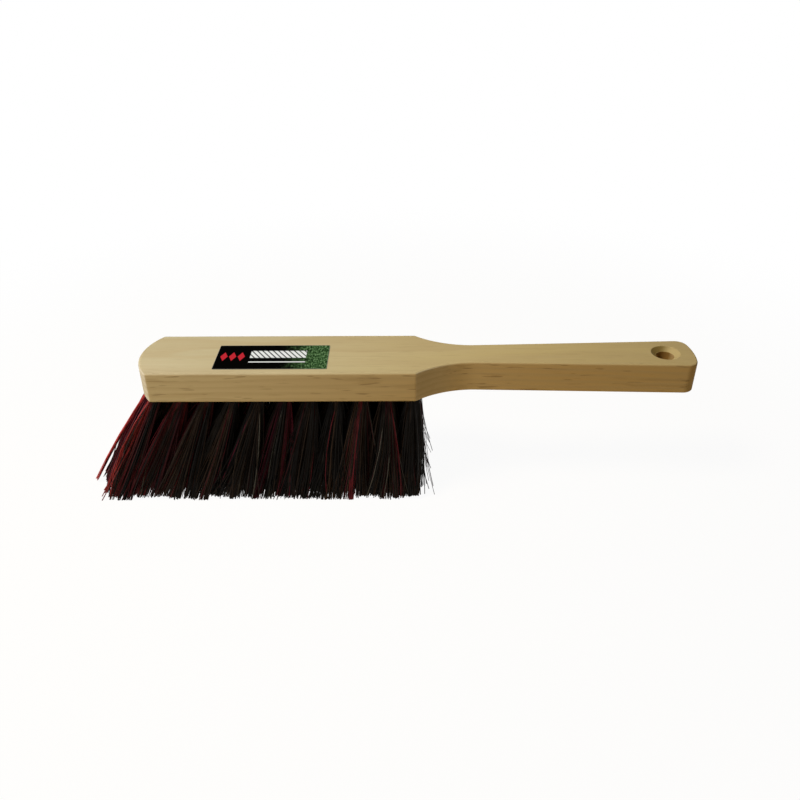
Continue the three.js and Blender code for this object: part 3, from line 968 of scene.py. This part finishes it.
def gathered(tips, lock):
    """Each tip moved part of the way to the mean tip of its lock, by its lock's own share."""
    member = (lock[..., None] == np.arange(LOCKS)).astype(float)
    total = np.einsum("htfk,htfc->htkc", member, tips)
    mean = total / np.maximum(member.sum(2), 1)[..., None]
    pull = dice.uniform(*LOCK_PULL, lock_shape)
    pull[:, NOSE_TUFTS:] = np.where(lock_red, RED_PULL, pull)[:, NOSE_TUFTS:]
    return tips + of_lock(pull, lock)[..., None] * (np.einsum("htfk,htkc->htfc", member, mean) - tips)


lock_red = dye.random(lock_shape) < along_rows(RED_LOCKS)
print("red locks:", int(lock_red.sum()), "of", lock_red.size)

# %% [markdown]
# Each fibre runs up in the hole, out along the tuft's lean, opening like a sheaf and a little bowed,
# and is cut off ragged at the trim. At the root a tuft is round like its hole. At the tips the
# tufts press against each other, so each fills a rounded square and the trim has no holes. The
# fan's ends are neater: there the fibres spread less and bow along the edge of the bundle.

# %% Paths of the fibres
ROOT_RADIUS = 3.7 * MM
FIBRE_RADIUS = 0.30 * MM
RADIUS_RANGE = (0.8, 1.18)
TIP_SPREAD = np.array([12.5, 13.0]) * MM
NOSE_SPREAD = np.array([[4.0], [1.0], [1.5], [6.0]]) * MM
HANDLE_SPREAD = 1.5 * MM
NOSE_CORNER = 5.0 * MM
TIP_STRAY = np.array([2.2, 0.8]) * MM
NOSE_ORDER = 0.5
OUTER_BAND = 1.2 * MM
LOCK_BOW = 1.4 * MM
FIBRE_BOW = 1.0 * MM
NOSE_BOW = 2.5 * MM
HANDLE_BOW = 1.0 * MM
LOCK_TRIM = np.array([1.7, 1.3]) * MM
FIBRE_TRIM = 0.4 * MM
RAGGED = 3.6 * MM


def inside(plan, inset):
    """Points in plan kept inside the CAD model's box, less an inset."""
    return np.clip(plan, np.array(cad_box[0])[:2] + inset, np.array(cad_box[1])[:2] - inset)


def held_in(tips):
    """Tips kept inside the size of the part, those past it brought to a thin band along its edge."""
    below = (holes + flares)[:, :, None, :]
    return inside(below + tips, OUTER_BAND * dice.random((*shape, 1)) + FIBRE_RADIUS) - below


def square_reach(angle):
    """Reach of a rounded square: one over the fourth root of cosine to the fourth plus sine to it."""
    return (np.cos(angle) ** 4 + np.sin(angle) ** 4) ** -0.25


angle = 2 * np.pi * dice.random(shape)
share = np.sqrt(dice.random(shape))
lock = locks_of(angle, share)
spot = share[..., None] * direction(angle)
roots = ROOT_RADIUS * spot
spread = np.broadcast_to(TIP_SPREAD, (*shape, 2)).copy()
spread[:, 0, :, 0] = np.where(spot[:, 0, :, 0] < 0, NOSE_SPREAD, TIP_SPREAD[0])
spread[:, -1, :, 0] = np.where(spot[:, -1, :, 0] > 0, HANDLE_SPREAD, TIP_SPREAD[0])
aimed = spot * square_reach(angle)[..., None] * spread
outer_side = np.maximum(np.sign(row_y) * aimed[:, 0, :, 1], 0) / TIP_SPREAD[1]
aimed[:, 0, :, 0] += NOSE_CORNER * outer_side**2
stray = dice.normal(0, 1, (*shape, 2)) * TIP_STRAY
stray[:, 0] *= NOSE_ORDER
tips = held_in(gathered(aimed + stray, lock))
lock_bows = dice.normal(0, LOCK_BOW, (*lock_shape, 2))
bows = of_lock(lock_bows, lock) + dice.normal(0, FIBRE_BOW, (*shape, 2))
bows[:, 0, :, 0] += NOSE_BOW * np.minimum(spot[:, 0, :, 0], 0)
bows[:, -1, :, 0] -= HANDLE_BOW * np.maximum(spot[:, -1, :, 0], 0)
lock_short = np.maximum(dice.normal(*LOCK_TRIM, lock_shape), 0)
short = of_lock(lock_short, lock) + dice.exponential(FIBRE_TRIM, shape)
depths = BRISTLE_LENGTH - np.clip(short - FIBRE_TRIM, 0, RAGGED)
radii = FIBRE_RADIUS * dice.uniform(*RADIUS_RANGE, shape)
print("fibres:", int(np.prod(shape)))

# %% [markdown]
# A brush is never quite tidy. Here and there a fibre leaves its lock and crosses the others. A wisp
# of bright red ones reaches furthest under the nose, thick red ones stand loose at the front row's
# nose corner, and thin ones bow out towards the handle. Loose fibres open late: they stay with the
# tuft at first and leave it near their tips.

# %% Stray fibres
LATE_OPENING = 2.2
WILD_SHARE = 0.10
WILD_REACH = np.array([7.0, 3.0]) * MM
WILD_ENDS = 0.3
WISP_FIBRES = 20
WISP_ROW = 1
WISP_TIP = np.array([-6.6, -3.4]) * MM
WISP_SPREAD = np.array([0.6, 2.4]) * MM
WISP_SIDE = np.pi + 0.25
WISP_FAN = 0.35
WISP_OWN_BOW = 0.3
WISP_BOW = np.array([1.6, 0.0]) * MM
LOOSE_FIBRES = 20
LOOSE_TIP = np.array([-7.2, 1.0]) * MM
LOOSE_SPREAD = np.array([1.4, 3.0]) * MM
LOOSE_SIDE = np.pi
LOOSE_FAN = 0.4
LOOSE_THICKNESS = 1.3
HANDLE_STRAYS = 6
STRAY_REACH = np.array([4.0, 13.5]) * MM
STRAY_FAN = 0.5
STRAY_THICKNESS = 0.75


def draw_out(group, count, tip, spread, side, fan):
    """Sends a group of fibres to tips spread about one spot, from roots fanned out on one side."""
    tips[group] = tip + dice.normal(0, 1, (count, 2)) * spread
    roots[group] = ROOT_RADIUS * direction(side + dice.normal(0, fan, count))


wild = dice.random(shape) < WILD_SHARE
astray = dice.normal(0, 1, (*shape, 2)) * WILD_REACH
astray[:, [0, -1]] *= WILD_ENDS
tips = np.where(wild[..., None], tips + astray, tips)
opening = np.ones(shape)

wisp = np.s_[WISP_ROW, 0, :WISP_FIBRES]
draw_out(wisp, WISP_FIBRES, WISP_TIP, WISP_SPREAD, WISP_SIDE, WISP_FAN)
bows[wisp] = WISP_OWN_BOW * bows[wisp] - WISP_BOW

loose = np.s_[0, 0, :LOOSE_FIBRES]
draw_out(loose, LOOSE_FIBRES, LOOSE_TIP, LOOSE_SPREAD, LOOSE_SIDE, LOOSE_FAN)
opening[loose] = LATE_OPENING
radii[loose] *= LOOSE_THICKNESS

strays = np.s_[:, -1, :HANDLE_STRAYS]
tips[strays][..., 0] = HANDLE_SPREAD + dice.uniform(*STRAY_REACH, (ROWS, HANDLE_STRAYS))
roots[strays] = ROOT_RADIUS * direction(dice.normal(0, STRAY_FAN, (ROWS, HANDLE_STRAYS)))
opening[strays] = LATE_OPENING
radii[strays] *= STRAY_THICKNESS
print("strays:", int(wild.sum()) + WISP_FIBRES + LOOSE_FIBRES + ROWS * HANDLE_STRAYS)

# %% [markdown]
# Colour belongs to the fibre, so it is kept as an attribute on its points. Most are black or dark brown,
# some locks browner than others. Red ones lie in the red locks, with a few elsewhere, and at the nose they
# lie on the outside of the fan. There, in the red wisp and in the loose red fibres, the red is painted
# lighter: painted light for the lamps that shine on and through them. A few pale ones are mostly strays.
# Each lock and each fibre is then a little lighter or darker.

# %% Colours of the fibres
BLACK = np.array([0.0046, 0.0033, 0.0022])
BROWN = np.array([0.0180, 0.0100, 0.0060])
PALE = np.array([0.0440, 0.0395, 0.0320])
RED = np.array([0.0700, 0.0075, 0.0090])
CRIMSON = np.array([0.0900, 0.0070, 0.0230])
# A lit red, used as painted light on red fibres.
PAINTED_LIT_RED = np.array([0.7500, 0.0700, 0.0600])
RED_FEW = (0.14, 0.11, 0.09, 0.02, 0.015, 0.02)
RED_IN_LOCK = 0.75
RED_OUTSIDE = 0.7
OUTSIDE_SLOPE = 1.6
OUTSIDE_START = 0.5
BROWN_LOCKS = 0.4
BROWN_SHARES = (0.85, 0.08)
PALE_SHARES = (0.10, 0.006)
RED_DEPTH = (0.45, 0.80)
OUTSIDE_PAINTED_LIGHT = (0.05, 0.35)
WISP_PAINTED_LIGHT = (0.18, 0.75)
LOOSE_PAINTED_LIGHT = (0.05, 0.45)
LOCK_SHADE = 0.35
FIBRE_SHADE = 0.10

lock_brown = np.where(dye.random(lock_shape) < BROWN_LOCKS, *BROWN_SHARES)
pick = dye.random(shape)
outside = np.zeros(shape)
outside[:, 0] = np.clip(-spot[:, 0, :, 0] * OUTSIDE_SLOPE - OUTSIDE_START, 0, 1)
red_inside = along_rows(RED_FEW) + RED_IN_LOCK * of_lock(lock_red, lock)
red_chance = np.maximum(red_inside, RED_OUTSIDE * outside)
is_red = pick < red_chance
is_red[wisp] = True
is_red[loose] = True
is_brown = ~is_red & (pick < red_chance + of_lock(lock_brown, lock))
is_pale = dye.random(shape) < np.where(wild, *PALE_SHARES)

red = RED + (CRIMSON - RED) * dye.random((ROWS, TUFTS, 1, 1)) ** 2
red = red * of_lock(dye.uniform(*RED_DEPTH, lock_shape), lock)[..., None]
# Painted light: reds on the outside of the nose's fan, in the wisp and in the loose fibres are mixed
# towards the lit red.
painted_light = outside * dye.uniform(*OUTSIDE_PAINTED_LIGHT, shape)
painted_light[wisp] = dye.uniform(*WISP_PAINTED_LIGHT, WISP_FIBRES)
painted_light[loose] = dye.uniform(*LOOSE_PAINTED_LIGHT, LOOSE_FIBRES)
red = red + (PAINTED_LIT_RED - red) * painted_light[..., None]

colour = np.where(is_brown[..., None], BROWN, BLACK)
colour = np.where(is_pale[..., None], PALE, colour)
colour = np.where(is_red[..., None], red, colour)
lock_shade = of_lock(dye.normal(0, LOCK_SHADE, (*lock_shape, 1)), lock)
colour = colour * np.exp(lock_shade + dye.normal(0, FIBRE_SHADE, (*shape, 1)))
print("red share:", round(float(is_red.mean()), 2), "brown share:", round(float(is_brown.mean()), 2))

# %% [markdown]
# The paths become tubes, one mesh for each row of tufts. All stations of all fibres are one array:
# the lean of the tuft, the opening by a power of the depth, and a half wave for the bow. Stations
# are shares of the way from the underside to the tip, and the first one is up in the hole.

# %% Meshes of the bristles
STATIONS = np.array([-0.10, 0.0, 0.25, 0.50, 0.75, 1.0])
SIDES = 4
FIBRE_SHARP = np.radians(80)
BOX_MARGIN = 0.1 * MM
fibre_points = len(STATIONS) * SIDES
root_cap = np.arange(SIDES)[None]
tip_cap = fibre_points - 1 - root_cap
fibre_faces = np.concatenate([grid_faces(len(STATIONS), SIDES), root_cap, tip_cap])


def fibre_middles(row):
    """Middle points of a row's fibres, (tufts, fibres, stations, 3), at depths below the underside."""
    part = STATIONS[None, None, :]
    depth = np.where(part < 0, part * BRISTLE_LENGTH, part * depths[row][..., None])
    down = (depth / BRISTLE_LENGTH)[..., None]
    opened = np.maximum(down, 0) ** opening[row][:, :, None, None]
    open_by = (tips[row] - roots[row])[:, :, None, :] * opened
    bowed = bows[row][:, :, None, :] * np.sin(np.pi * np.clip(down, 0, 1))
    lean = flares[row][:, None, None, :] * down
    plan = holes[row][:, None, None, :] + lean + roots[row][:, :, None, :] + open_by + bowed
    return np.concatenate([inside(plan, BOX_MARGIN + radii.max()), UNDERSIDE - depth[..., None]], -1)


def bristle_mesh(name, row):
    """Level rings of points round each middle, joined down the fibre and closed at both ends."""
    middle = fibre_middles(row).reshape(-1, len(STATIONS), 3)
    count = len(middle)
    spin = dice.uniform(0, 2 * np.pi, (count, 1))
    around = spin + 2 * np.pi * np.arange(SIDES) / SIDES
    ring = np.concatenate([direction(around), np.zeros((count, SIDES, 1))], -1)[:, None]
    points = middle[:, :, None, :] + radii[row].reshape(-1, 1, 1, 1) * ring
    piece = mesh_piece(name, points.reshape(-1, 3), copies(fibre_faces, fibre_points, count))
    paint = np.ones((count, fibre_points, 4))
    paint[..., :3] = colour[row].reshape(-1, 1, 3)
    layer = piece.data.color_attributes.new("fibre_colour", "FLOAT_COLOR", "POINT")
    layer.data.foreach_set("color", paint.astype(np.float32).ravel())
    smooth(piece.data, FIBRE_SHARP)
    return piece


print("one fibre has", len(fibre_faces), "faces")

# %% [markdown]
# All four rows share one finish. It takes the colour that each fibre carries, wears it lighter and
# darker along its length, and adds a fine scaly bump with a low gloss, as on plant fibre that has
# been dyed. The rows differ only in their meshes, so one short loop makes and places them.

# %% Fibre finish
WEAR_SPOTS = (240.0, 240.0, 120.0)
WEAR = (0.65, 1.3)
GLOSS_SPOTS = (500.0, 500.0, 180.0)
FIBRE_ROUGHNESS = (0.38, 0.62)
FIBRE_GLOSS = 0.08
SCALE_SPOTS = (1500.0, 1500.0, 700.0)
SCALE_BUMP = 0.25
SCALE_RELIEF = 0.1 * MM

fibre_finish, tree, shader, place = new_material("mixed_fibre")
own = put(tree, "ShaderNodeVertexColor", layer_name="fibre_colour").outputs["Color"]
worn = uneven(tree, place, WEAR_SPOTS, *WEAR)
worn_colour = put(tree, "ShaderNodeCombineColor", {0: worn, 1: worn, 2: worn}).outputs[0]
roughness = uneven(tree, place, GLOSS_SPOTS, *FIBRE_ROUGHNESS)
sockets = {"Base Color": tint(tree, 1.0, own, worn_colour, "MULTIPLY"), "Roughness": roughness,
           "Specular IOR Level": FIBRE_GLOSS}
finish_with(tree, shader, sockets, uneven(tree, place, SCALE_SPOTS), SCALE_BUMP, SCALE_RELIEF)
for row in range(ROWS):
    tufts = bristle_mesh(f"bristles_row_{row + 1}", row)
    dress(tufts, fibre_finish)
    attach(tufts, "root")
    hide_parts(f"tuft_row_{row + 1}")
    print(tufts.name, len(tufts.data.polygons), "faces")

# %% [markdown]
# The staples that hold the tufts sit deep in the holes. Their CAD shape is right, so they keep it
# and get a drawn wire finish: bright steel with fine lines and a little dulling.

# %% Staples
DULL_SPOTS = (300.0, 300.0, 300.0)
STEEL_TONES = ((0.0, (0.36, 0.34, 0.32)), (1.0, (0.62, 0.61, 0.60)))
WIRE_SPOTS = (2400.0, 300.0, 300.0)
WIRE_ROUGHNESS = (0.28, 0.5)
LINE_SPOTS = (3000.0, 400.0, 400.0)
LINE_BUMP = 0.3
LINE_RELIEF = 0.05 * MM

steel, tree, shader, place = new_material("drawn_wire")
steel_tone = ramp(tree, uneven(tree, place, DULL_SPOTS, detail=3.0), STEEL_TONES)
roughness = uneven(tree, place, WIRE_SPOTS, *WIRE_ROUGHNESS)
sockets = {"Base Color": steel_tone, "Roughness": roughness, "Metallic": 1.0}
finish_with(tree, shader, sockets, uneven(tree, place, LINE_SPOTS), LINE_BUMP, LINE_RELIEF)
staples = [node for name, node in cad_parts.items() if name.startswith("staple_row")]
for staple in staples:
    dress(staple, steel)
print("staples:", len(staples))
